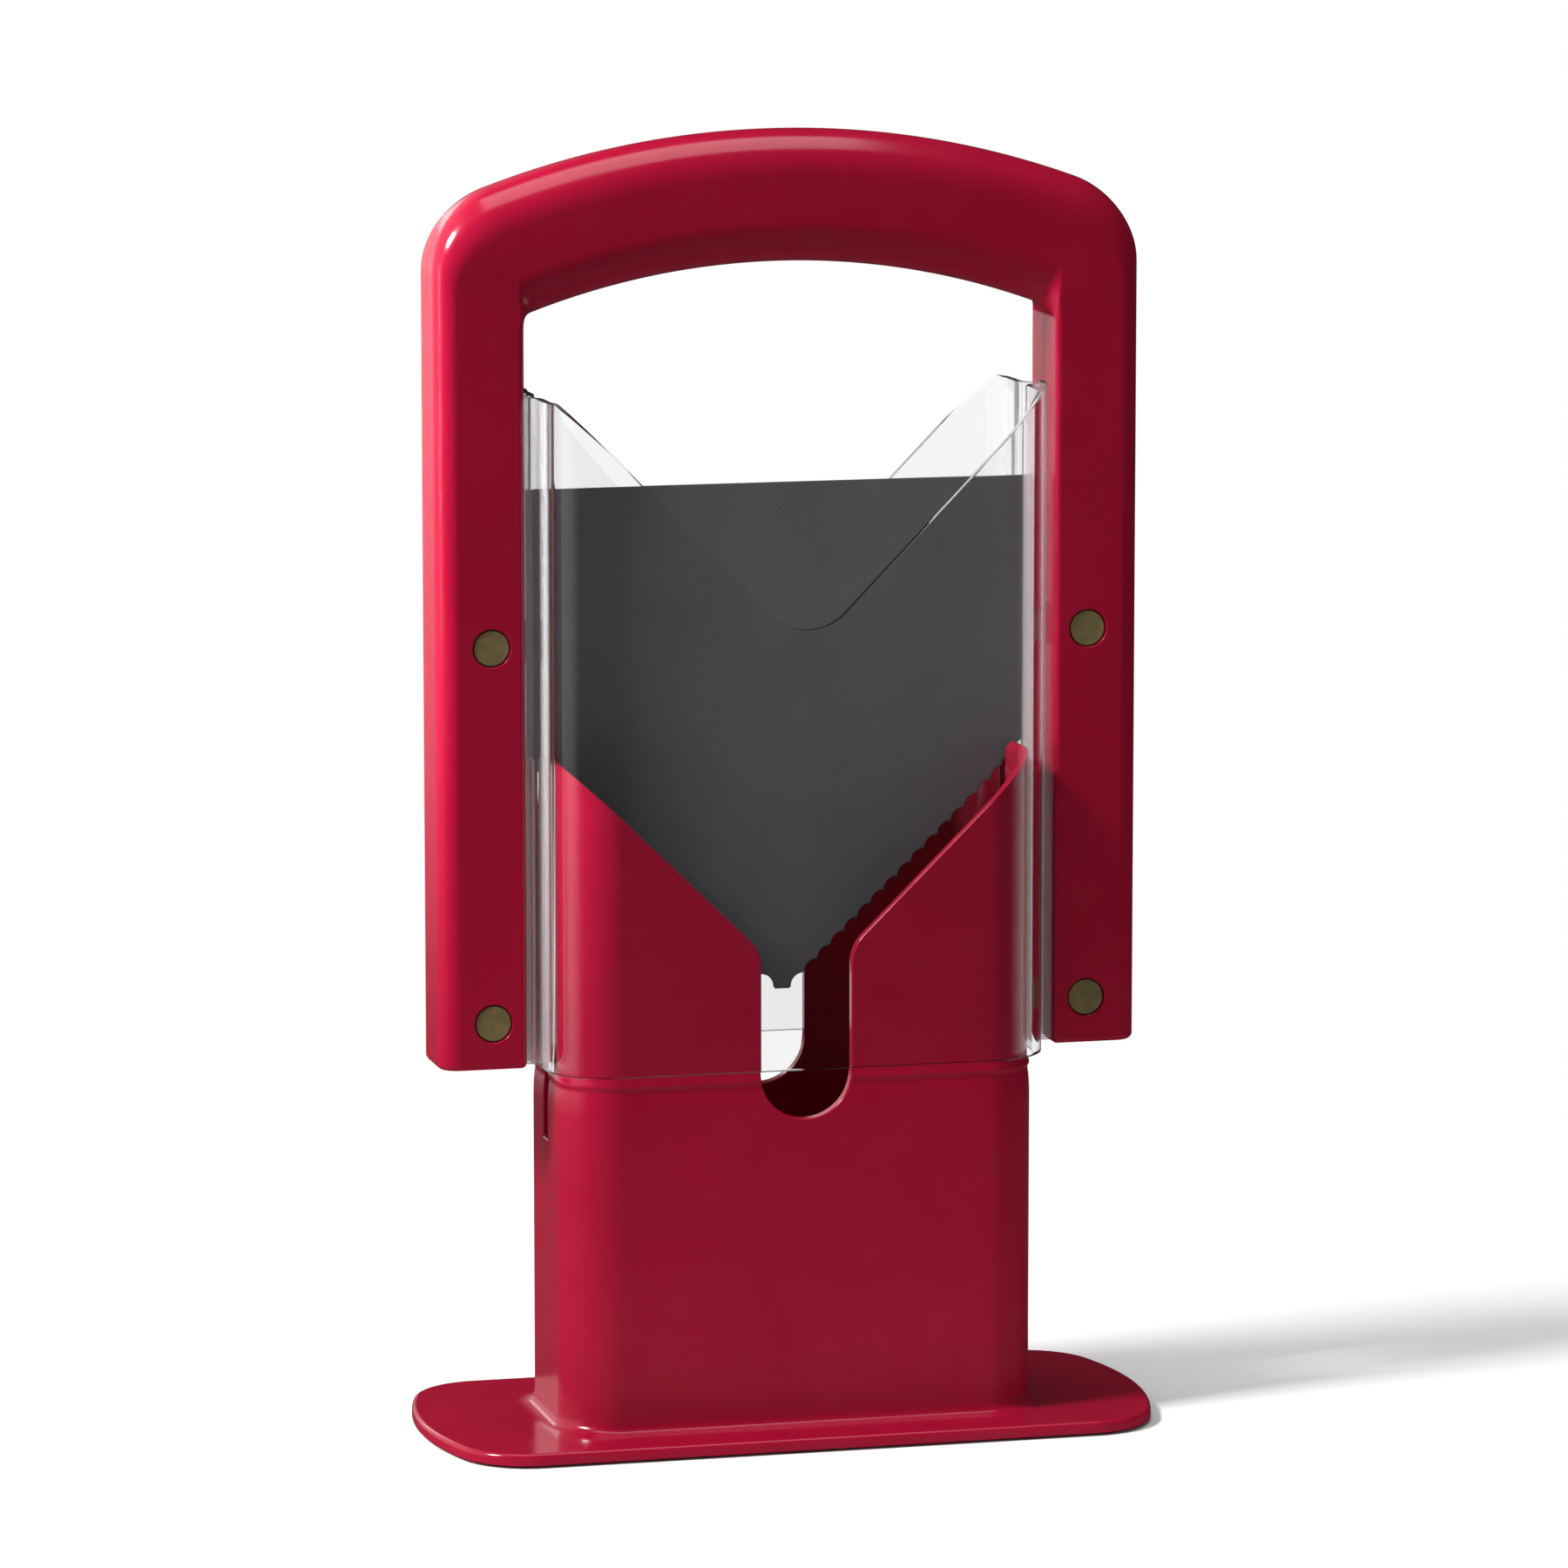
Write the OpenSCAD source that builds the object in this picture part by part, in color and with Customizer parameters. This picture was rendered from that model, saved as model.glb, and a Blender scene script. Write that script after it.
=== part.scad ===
// Guillotine slicer for round rolls: a stand that cradles the roll upright,
// and a carriage of arched handle, V-edged blade and two clear shields that
// slides down over it. Drawn with the carriage part raised. Millimetres, +Z up,
// -Y front, origin at the middle of the footprint on the table.

/* [Stand] */
// Width of the hollow body
stand_w = 116; // [106:0.5:126]
// Depth of the hollow body
stand_d = 49; // [44:0.5:52]
// Height of the body's level side rims
stand_h = 163; // [158:0.5:170]
// Wall thickness of the body
wall_t = 2.6; // [2:0.1:3.4]
// Radius of the body's upright corners
body_corner_r = 13; // [9:0.5:15]
// Height of the moulded step round the body
step_z = 86.4; // [80:0.2:92]
// How far the body is drawn in above the step
step_in = 0.5; // [0.3:0.05:0.6]
// Width of the gap in each side wall that the blade runs in
blade_gap_w = 5; // [3:0.25:8]
// Height of the closed end of that gap
blade_gap_z = 71; // [66:0.5:73]

/* [Foot plate] */
// Length of the foot plate over its bowed ends
foot_l = 178; // [172:1:200]
// Depth of the foot plate
foot_d = 80; // [74:1:96]
// Thickness of the foot plate
foot_t = 3; // [2.5:0.1:4.5]
// Radius of the plate's corners
foot_corner_r = 18; // [12:0.5:22]
// Radius of the plate's bowed ends
foot_end_r = 90; // [70:2:130]
// Radius of a rubber pad under the plate
pad_r = 6; // [4:0.5:8]
// Thickness of a rubber pad
pad_t = 2; // [1.4:0.1:2.4]
// How far a pad stands out below the plate
pad_drop = 0.6; // [0.4:0.1:1]
// Distance of a pad's centre from the plate's bowed end
pad_end_gap = 19; // [15:0.5:21]
// Distance of a pad's centre from the plate's long side
pad_side_gap = 14; // [11:0.5:16]

/* [Mouth and finger slot] */
// Width of the level rim left on each side wall, beside the mouth
side_rim_w = 0.8; // [0.6:0.1:3]
// Slope of the mouth's sides above level, degrees
mouth_angle = 44.4; // [42:0.2:46]
// Width of the upright slot below the mouth
slot_w = 22; // [18:0.5:26]
// Height of the slot's rounded bottom
slot_bottom_z = 77.5; // [74:0.5:82]
// Rounding where the mouth runs into the slot
shoulder_r = 9; // [4:0.5:12]

/* [Cradle webs] */
// Thickness of a web
web_t = 2; // [1.6:0.1:2.6]
// Distance of the inner webs' middle from the blade
web_inner_y = 5; // [4:0.25:6.5]
// Distance of the outer webs' middle from the blade
web_outer_y = 14; // [11:0.5:16]
// Radius of the round rest in the webs
rest_r = 57; // [55.5:0.5:62]
// Lowest point of the round rest
rest_bottom_z = 62; // [56:0.5:68]
// How far the webs' outer ends lie below the middle of the round rest
web_end_drop = 14.7; // [8:0.1:22]

/* [Handle] */
// Gap between a leg and the shields' flanges
leg_gap = 3.8; // [2.5:0.1:6]
// Width of one leg
leg_w = 21; // [19:0.25:24]
// Depth of the handle, front to back
handle_d = 22; // [20:0.5:25]
// Rounding of the legs' upright edges
leg_edge_r = 3.2; // [2:0.1:4.5]
// Height of the legs' lower ends, as drawn
leg_bottom_z = 90; // [89:0.5:100]
// Top of the grip above the legs' lower ends
handle_h = 220.5; // [214:0.5:232]
// Radius of the grip's upper line
grip_top_r = 210; // [190:2:240]
// Height of the grip's section
grip_h = 31.3; // [26:0.1:34]
// Depth left flat on the grip between its rounded edges
grip_flat_d = 1; // [0:0.5:2]
// Wall thickness of the two shells
shell_t = 2.5; // [2:0.1:3]
// Height of the lower rib in a leg above the leg's lower end
rib_low_h = 45; // [30:1:80]
// Height of the upper rib in a leg above the leg's lower end
rib_high_h = 145; // [120:1:152]

/* [Blade] */
// Thickness of the blade
blade_t = 1.2; // [0.8:0.1:1.6]
// How far the blade's top edge lies below the shields' tops
blade_top_drop = 22; // [16:0.5:28]
// Height of the blade's point above the legs' lower ends
blade_tip_h = 14.8; // [13:0.2:17]
// Width of the flat on the blade's point
blade_tip_w = 3.6; // [2.5:0.1:6]
// Slope of the cutting edge above level, degrees
blade_angle = 44.2; // [43:0.2:46]
// Distance from the end of the cutting edge to the leg
edge_end_gap = 2.5; // [1.5:0.1:3.2]
// Height of the lugs that reach into the legs at the upper rivets
blade_lug_h = 10; // [8:0.5:14]
// Distance between two scallops of the edge
scallop_pitch = 4.6; // [3.8:0.1:6]
// Depth of a scallop
scallop_depth = 1; // [0.6:0.1:1.3]

/* [Shields] */
// Thickness of the clear sheet
shield_t = 2; // [1.5:0.1:2.4]
// Gap between the body and a shield's front panel
shield_gap_y = 0.35; // [0.3:0.05:0.5]
// Gap between the body and a shield's side flange
shield_gap_x = 0.7; // [0.4:0.1:1.2]
// How far the ears reach into the handle
ear_reach = 14; // [12:0.5:15]
// Height left open between a shield's top and the grip, beside a leg
shield_top_gap = 18.6; // [14:0.2:24]
// How far a shield hangs below the legs
shield_hang = 0.4; // [0:0.1:1]
// Height above the legs' lower ends where the notch's slopes would meet
notch_apex_h = 99.3; // [96:0.5:104]
// Slope of the notch's sides above level, degrees
notch_angle = 45.5; // [44.5:0.25:47]
// Rounding of the notch's bottom
notch_r = 12.6; // [8:0.2:16]

/* [Rivets] */
// Radius of a rivet head
head_r = 4.25; // [3.6:0.05:4.8]
// Thickness of a rivet head
head_t = 1.2; // [0.9:0.1:1.6]
// How far a head lies below the handle's face
head_sink = 0.25; // [0.1:0.05:0.4]
// Gap round a head in its recess
head_gap = 0.3; // [0.15:0.05:0.5]
// Outer radius of a rivet's barrel
barrel_r = 2.6; // [2.2:0.1:3]
// Radius of a rivet's pin
pin_r = 1.6; // [1.2:0.1:1.8]
// Running clearance round barrel and pin
rivet_gap = 0.1; // [0.05:0.05:0.2]
// Distance of the rivets from the leg's inner side
rivet_reach = 8.2; // [7:0.1:9]
// Height of the lower rivets above the legs' lower ends
rivet_low_h = 11.2; // [8:0.2:15]
// Height of the upper rivets above the legs' lower ends
rivet_high_h = 100.6; // [94:0.2:110]
// Radius of the bosses that the rivets draw together
boss_r = 5.6; // [5.2:0.1:6]

/* [Fit] */
// Gap between pieces that lie face to face
fit_gap = 0.05; // [0.02:0.01:0.1]
// Gap round the ears and the blade inside the handle
ear_gap = 0.4; // [0.3:0.05:0.6]

/* [Hidden] */
$fn = 96;
eps = 0.5;
big = 400;

plate_z = pad_drop;
plate_top_z = plate_z + foot_t;
pocket_h = pad_t - pad_drop + fit_gap;
upper_w = stand_w - 2 * step_in;
upper_d = stand_d - 2 * step_in;
pad_x = foot_l / 2 - pad_end_gap;
pad_y = foot_d / 2 - pad_side_gap;
mouth_slope = tan(mouth_angle);
mouth_apex_z = stand_h - (upper_w / 2 - side_rim_w) * mouth_slope;
slot_r = slot_w / 2;
shoulder_z = mouth_apex_z + slot_r * mouth_slope;
rest_z = rest_bottom_z + rest_r;

shield_in_y = stand_d / 2 + shield_gap_y;
shield_in_x = stand_w / 2 + shield_gap_x;
shield_out_y = shield_in_y + shield_t;
shield_out_x = shield_in_x + shield_t;
shield_corner_r = body_corner_r + shield_t;

leg_inner_x = shield_out_x + leg_gap;
leg_x = leg_inner_x + leg_w / 2;
handle_y = handle_d / 2;
handle_top_z = leg_bottom_z + handle_h;
arch_z = handle_top_z - grip_top_r;
grip_low_r = grip_top_r - grip_h;
// Underside of the grip where it meets the legs
window_top_z = arch_z + sqrt(grip_low_r * grip_low_r - leg_inner_x * leg_inner_x);
// The corner's round is tangent to the leg's outer side and to the grip's upper line
corner_reach = grip_top_r - leg_w;
corner_angle = asin(leg_inner_x / corner_reach);
corner_z = arch_z + corner_reach * cos(corner_angle);
// How far the corner's blend runs down the leg, the angle of its thin end slices,
// and how far it starts inside the grip's and the leg's faces
corner_drop = 14;
slice_angle = 0.6;
lap_inset = 0.12;
// Share of the corner's turn from the leg at which its section is half rounded
half_round_turn = 0.7;
hull_fn = 32;
least_round = 0.5;

ear_y = blade_t / 2 + fit_gap;
ear_x = leg_inner_x + ear_reach;
shield_bottom_z = leg_bottom_z - shield_hang;
shield_top_z = window_top_z - shield_top_gap;
notch_apex_z = leg_bottom_z + notch_apex_h;
stack_y = ear_y + shield_t + fit_gap;

blade_top_z = shield_top_z - blade_top_drop;
blade_tip_z = leg_bottom_z + blade_tip_h;
edge_end_x = leg_inner_x - edge_end_gap;
edge_end_z = blade_tip_z + (edge_end_x - blade_tip_w / 2) * tan(blade_angle);
edge_length = (edge_end_x - blade_tip_w / 2) / cos(blade_angle);
// Plain edge left at the point and at the end, and how far the cusps lie inside the edge
scallop_start = 0.5;
cusp_drop = 0.08;
scallop_r = (scallop_pitch * scallop_pitch / 4 + scallop_depth * scallop_depth)
    / (2 * scallop_depth);
scallop_count = floor((edge_length - 2 * scallop_start) / scallop_pitch);

head_face_y = handle_y - head_sink;
head_back_y = head_face_y - head_t;
hole_r = barrel_r + rivet_gap;
rivet_x = leg_inner_x + rivet_reach;
rivet_low_z = leg_bottom_z + rivet_low_h;
rivet_high_z = leg_bottom_z + rivet_high_h;

red = "crimson";
rubber = "dimgray";
coated = "darkslategray";
clear = [0.85, 0.93, 0.95, 0.45];
brass = "darkkhaki";

// Rectangle with round corners, centred
module rounded_plan(w, d, r) {
    square([w - 2 * r, d], center = true);
    square([w, d - 2 * r], center = true);
    for (sx = [-1, 1], sy = [-1, 1])
        translate([sx * (w / 2 - r), sy * (d / 2 - r)]) circle(r);
}

// Upright solid on a plan, from one height to another
module post(z0, z1) {
    translate([0, 0, z0]) linear_extrude(z1 - z0) children();
}

// Solid through the whole depth on a front outline drawn in X and Z
module through(depth) {
    rotate([90, 0, 0]) linear_extrude(depth, center = true) children();
}

// Foot plate outline: straight sides, round corners and gently bowed ends
module foot_plan() {
    straight_y = foot_d / 2 - foot_corner_r;
    bow_angle = asin(straight_y / (foot_end_r - foot_corner_r));
    bow_x = foot_l / 2 - foot_end_r;
    corner_x = bow_x + (foot_end_r - foot_corner_r) * cos(bow_angle);
    bow_y = foot_end_r * sin(bow_angle);
    square([2 * corner_x, foot_d], center = true);
    for (side = [-1, 1]) mirror([side < 0 ? 1 : 0, 0]) {
        for (sy = [-1, 1]) translate([corner_x, sy * straight_y]) circle(foot_corner_r);
        translate([bow_x, 0]) intersection() {
            circle(foot_end_r);
            translate([0, -bow_y]) square([big, 2 * bow_y]);
        }
    }
}

// Mouth with its slot, as one outline in X and Z, rounded where they meet
module mouth_outline() {
    rise = big * mouth_slope;
    // Centre of the round that touches the slope and the slot's side
    round_x = slot_r + shoulder_r;
    round_z = mouth_apex_z + round_x * mouth_slope - shoulder_r / cos(mouth_angle);
    touch_x = round_x - shoulder_r * sin(mouth_angle);
    touch_z = round_z + shoulder_r * cos(mouth_angle);
    polygon([[0, mouth_apex_z], [big, mouth_apex_z + rise], [-big, mouth_apex_z + rise]]);
    translate([0, slot_bottom_z + slot_r]) circle(slot_r);
    translate([-slot_r, slot_bottom_z + slot_r])
        square([slot_w, shoulder_z - slot_bottom_z - slot_r]);
    for (side = [-1, 1]) mirror([side < 0 ? 1 : 0, 0]) difference() {
        polygon([[0, round_z], [round_x, round_z], [touch_x, touch_z], [0, touch_z]]);
        translate([round_x, round_z]) circle(shoulder_r);
    }
}

// Pocket for the roll, and the hollow below it, down to the plate
module stand_hollow() {
    inner_r = body_corner_r - wall_t;
    post(plate_top_z, stand_h + eps)
        rounded_plan(upper_w - 2 * wall_t, upper_d - 2 * wall_t, inner_r);
}

// Upright webs that hold the roll on both sides of the blade
module cradle_webs() {
    for (y = [-web_outer_y, -web_inner_y, web_inner_y, web_outer_y])
        translate([0, y, 0]) through(web_t) difference() {
            translate([-upper_w / 2 + wall_t / 2, plate_top_z - eps])
                square([upper_w - wall_t, rest_z - web_end_drop - plate_top_z + eps]);
            translate([0, rest_z]) circle(rest_r);
        }
}

module stand_body() {
    color(red) difference() {
        union() {
            post(plate_z, plate_top_z) foot_plan();
            difference() {
                union() {
                    post(plate_z, step_z) rounded_plan(stand_w, stand_d, body_corner_r);
                    post(step_z - eps, stand_h) rounded_plan(upper_w, upper_d, body_corner_r);
                }
                stand_hollow();
                through(big) mouth_outline();
                translate([-big / 2, -blade_gap_w / 2, blade_gap_z])
                    cube([big, blade_gap_w, big]);
            }
            cradle_webs();
        }
        for (sx = [-1, 1], sy = [-1, 1]) translate([sx * pad_x, sy * pad_y, plate_z - eps])
            cylinder(r = pad_r + fit_gap, h = pocket_h + eps);
    }
}

module foot_pad(sx, sy) {
    color(rubber) translate([sx * pad_x, sy * pad_y, 0]) cylinder(r = pad_r, h = pad_t);
}

// Section of the grip, drawn as distance from the arch's centre and depth
module grip_section(inset) {
    low = grip_low_r + inset;
    high = grip_top_r - inset;
    depth = handle_d - 2 * inset;
    edge_r = (handle_d - grip_flat_d) / 2 - inset;
    translate([(low + high) / 2, 0]) rounded_plan(high - low, depth, edge_r);
}

// Arc of a section swung about an axis that runs front to back
module swung(from, sweep) {
    rotate([90, 0, 0]) rotate([0, 0, from]) rotate_extrude(angle = sweep) children();
}

// Section of the handle's corner, from the inner side outwards
module corner_section(edge_r) {
    translate([0, -handle_d / 2]) square([leg_w - edge_r, handle_d]);
    translate([0, edge_r - handle_d / 2]) square([leg_w, handle_d - 2 * edge_r]);
    for (sy = [-1, 1])
        translate([leg_w - edge_r, sy * (handle_d / 2 - edge_r)]) circle(edge_r, $fn = hull_fn);
}

// Corner between grip and leg, blended from the round grip to the flat leg
module handle_corner() {
    corner_turn = 90 - corner_angle;
    hull() {
        translate([0, 0, arch_z])
            swung(corner_turn + slice_angle, slice_angle)
                grip_section(lap_inset, $fn = hull_fn);
        translate([leg_inner_x, 0, corner_z]) {
            swung(corner_turn * half_round_turn, slice_angle)
                corner_section((leg_edge_r + handle_d / 2) / 2);
            swung(0, corner_turn / 2) corner_section(leg_edge_r);
        }
        translate([leg_x, 0, 0]) post(corner_z - corner_drop, corner_z - corner_drop + eps)
            rounded_plan(leg_w - 2 * lap_inset, handle_d - 2 * lap_inset, leg_edge_r,
                $fn = hull_fn);
    }
}

// Whole handle, both shells together
module handle_form() {
    translate([0, 0, arch_z]) swung(90 - corner_angle, 2 * corner_angle) grip_section(0);
    for (side = [-1, 1]) mirror([side < 0 ? 1 : 0, 0, 0]) {
        translate([leg_x, 0, 0]) post(leg_bottom_z, corner_z - corner_drop + 2 * eps)
            rounded_plan(leg_w, handle_d, leg_edge_r);
        handle_corner();
    }
}

// Hollow of the grip and of both legs
module handle_hollow() {
    hollow_angle = asin((leg_inner_x - shell_t) / grip_top_r);
    translate([0, 0, arch_z]) swung(90 - hollow_angle, 2 * hollow_angle) grip_section(shell_t);
    for (side = [-1, 1]) translate([side * leg_x, 0, 0])
        post(leg_bottom_z + shell_t, corner_z + shell_t)
            rounded_plan(leg_w - 2 * shell_t, handle_d - 2 * shell_t,
                max(leg_edge_r - shell_t, least_round));
}

// Bosses at the rivets, from the outer face down to the clamped sheets
module rivet_bosses() {
    for (side = [-1, 1], z = [rivet_low_z, rivet_high_z])
        translate([side * rivet_x, -stack_y, z]) rotate([90, 0, 0])
            cylinder(r = boss_r, h = handle_y - shell_t / 2 - stack_y);
}

// Ribs across the legs that back the sheets up
module leg_ribs() {
    for (side = [-1, 1], z = [leg_bottom_z + rib_low_h, leg_bottom_z + rib_high_h])
        translate([side * leg_x - leg_w / 2 + shell_t / 2, -handle_y + shell_t / 2, z])
            cube([leg_w - shell_t, handle_y - shell_t / 2 - stack_y, shell_t]);
}

// Front half of the handle; the back half is its mirror image
module handle_half() {
    color(red) difference() {
        union() {
            difference() {
                intersection() {
                    handle_form();
                    translate([-big / 2, -big - fit_gap / 2, 0]) cube([big, big, big]);
                }
                handle_hollow();
            }
            rivet_bosses();
            leg_ribs();
        }
        // Pocket for the sheets, open at the inner side and at the bottom
        for (side = [-1, 1]) mirror([side < 0 ? 1 : 0, 0, 0])
            translate([leg_inner_x - eps, -stack_y, leg_bottom_z - eps])
                cube([ear_reach + ear_gap + eps, stack_y + eps,
                    shield_top_z + ear_gap - leg_bottom_z + eps]);
        for (side = [-1, 1], z = [rivet_low_z, rivet_high_z])
            translate([side * rivet_x, 0, z]) rotate([90, 0, 0]) {
                translate([0, 0, -eps]) cylinder(r = hole_r, h = handle_y + 2 * eps);
                translate([0, 0, head_back_y]) cylinder(r = head_r + head_gap, h = handle_d);
            }
    }
}

module handle_front_shell() {
    handle_half();
}

module handle_back_shell() {
    mirror([0, 1, 0]) handle_half();
}

module blade() {
    color(coated) difference() {
        through(blade_t) difference() {
            union() {
                polygon([
                    [-blade_tip_w / 2, blade_tip_z], [blade_tip_w / 2, blade_tip_z],
                    [edge_end_x, edge_end_z], [edge_end_x, blade_top_z],
                    [-edge_end_x, blade_top_z], [-edge_end_x, edge_end_z]
                ]);
                translate([-ear_x, rivet_high_z - blade_lug_h / 2])
                    square([2 * ear_x, blade_lug_h]);
            }
            for (side = [-1, 1]) mirror([side < 0 ? 1 : 0, 0])
                translate([blade_tip_w / 2, blade_tip_z]) rotate(blade_angle)
                    for (i = [0:scallop_count - 1])
                        translate([scallop_start + (i + 0.5) * scallop_pitch,
                            scallop_depth + cusp_drop - scallop_r]) circle(scallop_r);
        }
        for (side = [-1, 1]) translate([side * rivet_x, 0, rivet_high_z])
            rotate([90, 0, 0]) cylinder(r = hole_r, h = 2 * blade_t, center = true);
    }
}

// Notch in a shield's top, in X and Z, with a round bottom
module notch_outline() {
    rise = tan(notch_angle);
    touch_x = notch_r * sin(notch_angle);
    touch_z = notch_apex_z + touch_x * rise;
    round_z = notch_apex_z + notch_r / cos(notch_angle);
    polygon([[touch_x, touch_z], [big, notch_apex_z + big * rise],
        [-big, notch_apex_z + big * rise], [-touch_x, touch_z]]);
    translate([0, round_z]) circle(notch_r);
}

// Plan of the front shield: panel, round corners, flanges and two ears
module shield_plan() {
    difference() {
        intersection() {
            union() {
                rounded_plan(2 * shield_out_x, 2 * shield_out_y, shield_corner_r);
                square([2 * ear_x, 2 * (ear_y + shield_t)], center = true);
            }
            translate([-big / 2, -big - ear_y]) square(big);
        }
        rounded_plan(2 * shield_in_x, 2 * shield_in_y, body_corner_r);
    }
}

module shield() {
    color(clear) difference() {
        post(shield_bottom_z, shield_top_z) shield_plan();
        through(big) notch_outline();
        for (side = [-1, 1], z = [rivet_low_z, rivet_high_z])
            translate([side * rivet_x, 0, z]) rotate([90, 0, 0])
                cylinder(r = hole_r, h = handle_d, center = true);
    }
}

module front_shield() {
    shield();
}

module back_shield() {
    mirror([0, 1, 0]) shield();
}

// Rivet's front half: a head with a hollow barrel
module rivet_barrel(side, z) {
    barrel_end_y = head_back_y - fit_gap;
    color(brass) translate([side * rivet_x, 0, z]) rotate([90, 0, 0]) difference() {
        union() {
            translate([0, 0, head_back_y]) cylinder(r = head_r, h = head_t);
            translate([0, 0, -barrel_end_y]) cylinder(r = barrel_r, h = barrel_end_y + head_face_y);
        }
        translate([0, 0, -handle_d]) cylinder(r = pin_r + fit_gap, h = handle_d + head_back_y);
    }
}

// Rivet's back half: a head with the pin that is driven into the barrel
module rivet_pin(side, z) {
    color(brass) translate([side * rivet_x, 0, z]) rotate([-90, 0, 0]) {
        translate([0, 0, head_back_y]) cylinder(r = head_r, h = head_t);
        translate([0, 0, shell_t - head_back_y])
            cylinder(r = pin_r, h = 2 * head_back_y - shell_t + eps);
    }
}

stand_body();
foot_pad(-1, -1);  // foot_pad_front_left
foot_pad(1, -1);  // foot_pad_front_right
foot_pad(-1, 1);  // foot_pad_back_left
foot_pad(1, 1);  // foot_pad_back_right
handle_front_shell();
handle_back_shell();
blade();
front_shield();
back_shield();
rivet_barrel(-1, rivet_high_z);  // rivet_barrel_upper_left
rivet_barrel(1, rivet_high_z);  // rivet_barrel_upper_right
rivet_barrel(-1, rivet_low_z);  // rivet_barrel_lower_left
rivet_barrel(1, rivet_low_z);  // rivet_barrel_lower_right
rivet_pin(-1, rivet_high_z);  // rivet_pin_upper_left
rivet_pin(1, rivet_high_z);  // rivet_pin_upper_right
rivet_pin(-1, rivet_low_z);  // rivet_pin_lower_left
rivet_pin(1, rivet_low_z);  // rivet_pin_lower_right
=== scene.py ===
import math

import bmesh
import bpy
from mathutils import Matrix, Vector


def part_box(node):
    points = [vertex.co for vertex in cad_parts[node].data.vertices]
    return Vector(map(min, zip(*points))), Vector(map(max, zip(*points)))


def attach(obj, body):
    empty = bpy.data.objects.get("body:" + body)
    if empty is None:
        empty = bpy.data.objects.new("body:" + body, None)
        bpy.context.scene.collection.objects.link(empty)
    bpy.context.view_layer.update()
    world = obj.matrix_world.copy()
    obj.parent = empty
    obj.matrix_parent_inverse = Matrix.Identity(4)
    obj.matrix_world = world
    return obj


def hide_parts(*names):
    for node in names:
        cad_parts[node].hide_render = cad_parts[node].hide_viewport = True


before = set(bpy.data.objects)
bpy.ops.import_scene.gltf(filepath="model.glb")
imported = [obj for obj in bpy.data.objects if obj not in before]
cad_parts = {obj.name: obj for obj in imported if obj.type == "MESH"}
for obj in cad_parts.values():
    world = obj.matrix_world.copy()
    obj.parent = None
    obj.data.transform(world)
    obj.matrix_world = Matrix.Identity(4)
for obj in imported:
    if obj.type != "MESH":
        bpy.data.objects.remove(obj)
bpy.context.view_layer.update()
bpy.ops.object.select_all(action="DESELECT")

# Foot plate: the broad base of the stand, moulded in the same glossy red as the body.
# It has straight long sides, bowed ends and a rounded rim, so that it wipes clean.
mm = 0.001
stand_low, stand_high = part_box("stand_body")
plate_z = stand_low.z
plate_t = 3.0 * mm
plate_top_z = plate_z + plate_t
plate_half_l = stand_high.x
plate_half_d = stand_high.y
plate_corner_r = 18.0 * mm
plate_end_r = 90.0 * mm
plate_rim_r = 1.2 * mm
plate_under_r = 0.5 * mm
plate_corner_steps = 14
plate_end_steps = 8
same_place = 0.01 * mm
merge_gap = 0.001 * mm
up = Vector((0, 0, 1))
back = Vector((0, 1, 0))


def set_mode(mode):
    bpy.ops.object.mode_set(mode=mode)


def pick_only(piece):
    if bpy.context.mode != "OBJECT":
        set_mode("OBJECT")
    bpy.ops.object.select_all(action="DESELECT")
    piece.select_set(True)
    bpy.context.view_layer.objects.active = piece


def set_pen(name, point):
    """Starts an outline as a single vertex at a point, in edit mode."""
    bpy.ops.mesh.primitive_plane_add(size=mm, location=point)
    piece = bpy.context.object
    piece.name = name
    bpy.ops.object.transform_apply(location=True, rotation=True, scale=True)
    set_mode("EDIT")
    bpy.ops.mesh.select_mode(type="VERT")
    bpy.ops.mesh.select_all(action="SELECT")
    bpy.ops.mesh.merge(type="CENTER")
    return piece


def draw_line(x, y, z):
    bpy.ops.mesh.extrude_region_move(TRANSFORM_OT_translate={"value": (x, y, z)})


def draw_arc(centre, degrees, axis, steps):
    """Sweeps the pen about a centre, counterclockwise seen against the axis."""
    bpy.ops.mesh.spin(steps=steps, angle=-math.radians(degrees), center=centre, axis=axis)


def apply_modifier(piece, kind, **settings):
    pick_only(piece)
    modifier = piece.modifiers.new(kind.title(), kind)
    for name, value in settings.items():
        setattr(modifier, name, value)
    bpy.ops.object.modifier_apply(modifier=modifier.name)


def mirror_half(piece, across):
    """Mirrors an open half across the axes that are True, and joins it in the middle."""
    set_mode("OBJECT")
    apply_modifier(piece, "MIRROR", use_axis=across, merge_threshold=same_place)


def fill_outline(piece):
    set_mode("EDIT")
    bpy.ops.mesh.select_all(action="SELECT")
    bpy.ops.mesh.edge_face_add()


def face_outwards(piece):
    pick_only(piece)
    set_mode("EDIT")
    bpy.ops.mesh.select_all(action="SELECT")
    bpy.ops.mesh.remove_doubles(threshold=merge_gap)
    bpy.ops.mesh.normals_make_consistent(inside=False)
    set_mode("OBJECT")


def pick_edges(piece, wanted):
    """Selects, in edit mode, the edges that the test accepts."""
    pick_only(piece)
    set_mode("EDIT")
    bpy.ops.mesh.select_mode(type="EDGE")
    bpy.ops.mesh.select_all(action="DESELECT")
    cage = bmesh.from_edit_mesh(piece.data)
    for edge in cage.edges:
        edge.select = wanted(edge)
    cage.select_flush_mode()
    bmesh.update_edit_mesh(piece.data)


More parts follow.
